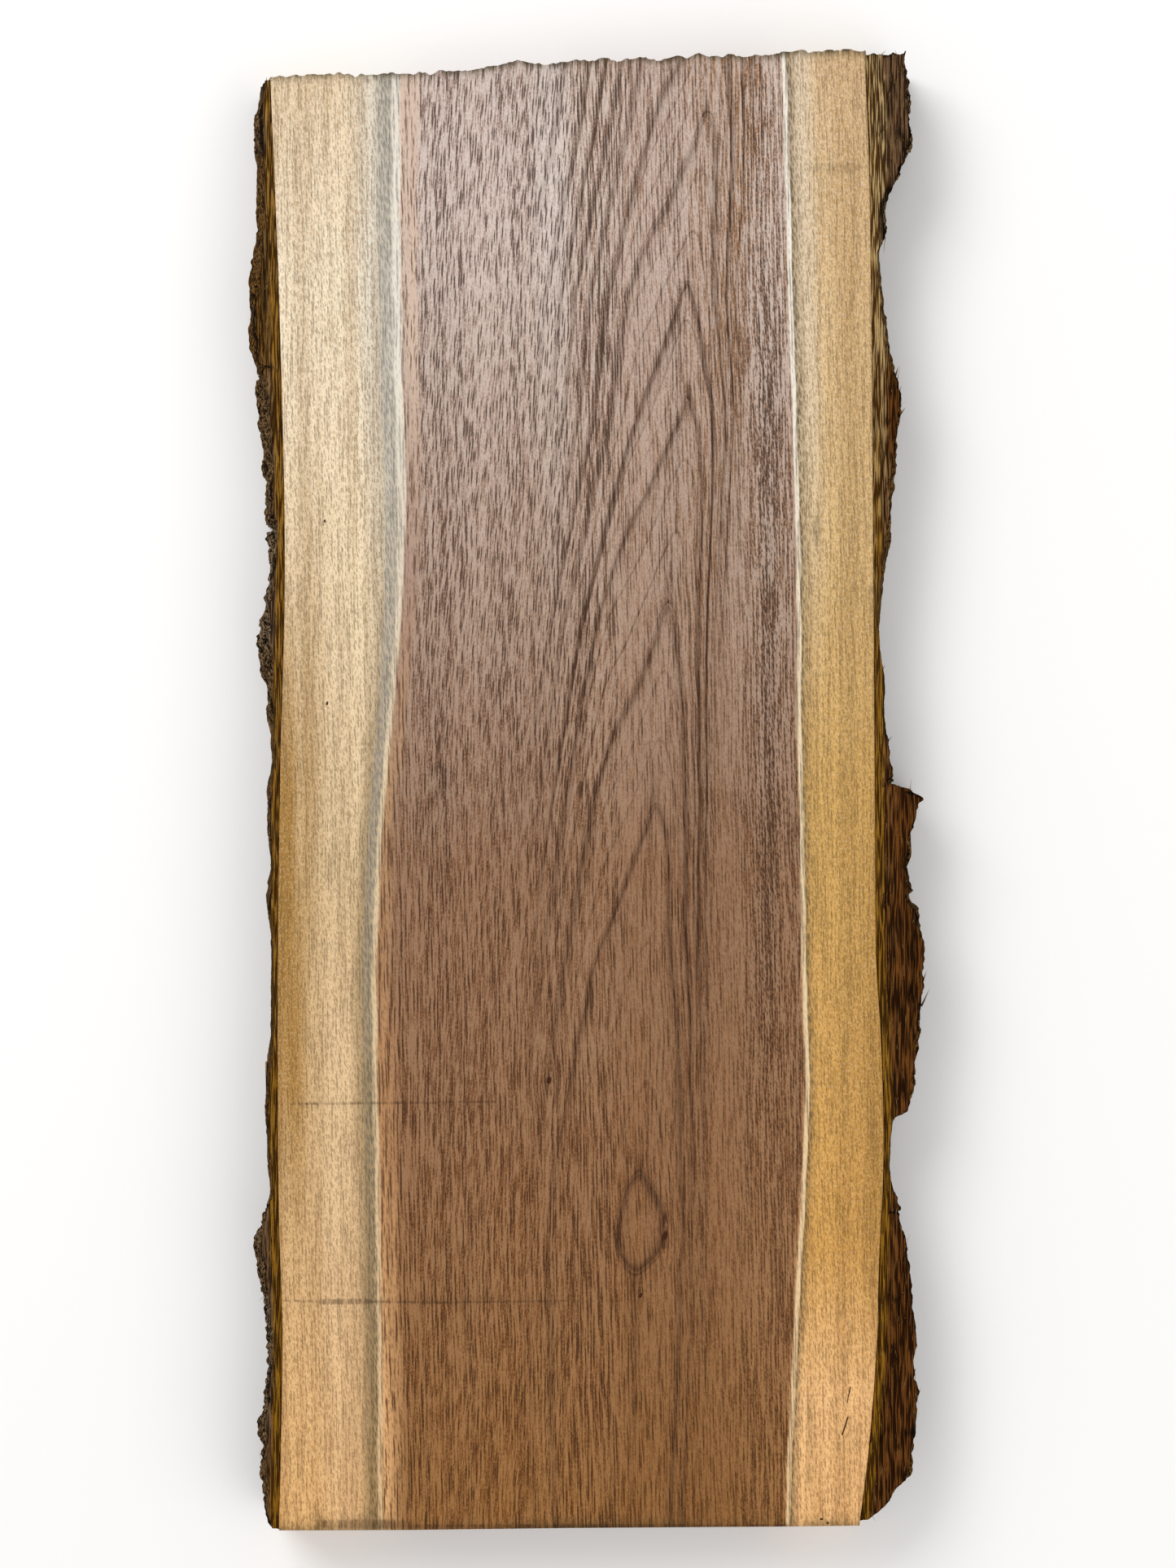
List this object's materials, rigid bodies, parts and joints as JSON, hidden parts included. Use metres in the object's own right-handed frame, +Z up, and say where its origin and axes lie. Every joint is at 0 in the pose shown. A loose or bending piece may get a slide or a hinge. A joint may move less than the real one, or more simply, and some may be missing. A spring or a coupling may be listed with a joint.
{
  "type": "walnut wood slab",
  "caption": "Live-edge slab of rough-sawn walnut with bark on both long edges, lying flat on its sawn underside.",
  "frame": {"origin": "middle of the footprint, on the surface the slab lies on", "axes": "+Y along the grain towards the top of the trunk, +X across the slab, +Z up out of the sawn face"},
  "size_m": [0.2872, 0.6122, 0.038],
  "materials": {
    "walnut_wood": "rough sawn, unoiled; purple-brown heartwood between cream sapwood",
    "walnut_bark": "torn fibrous bark over golden-brown bast, dull"
  },
  "bodies": {
    "root": {"wood": "walnut_wood", "bark_left": "walnut_bark", "bark_right": "walnut_bark"}
  },
  "joints": []
}
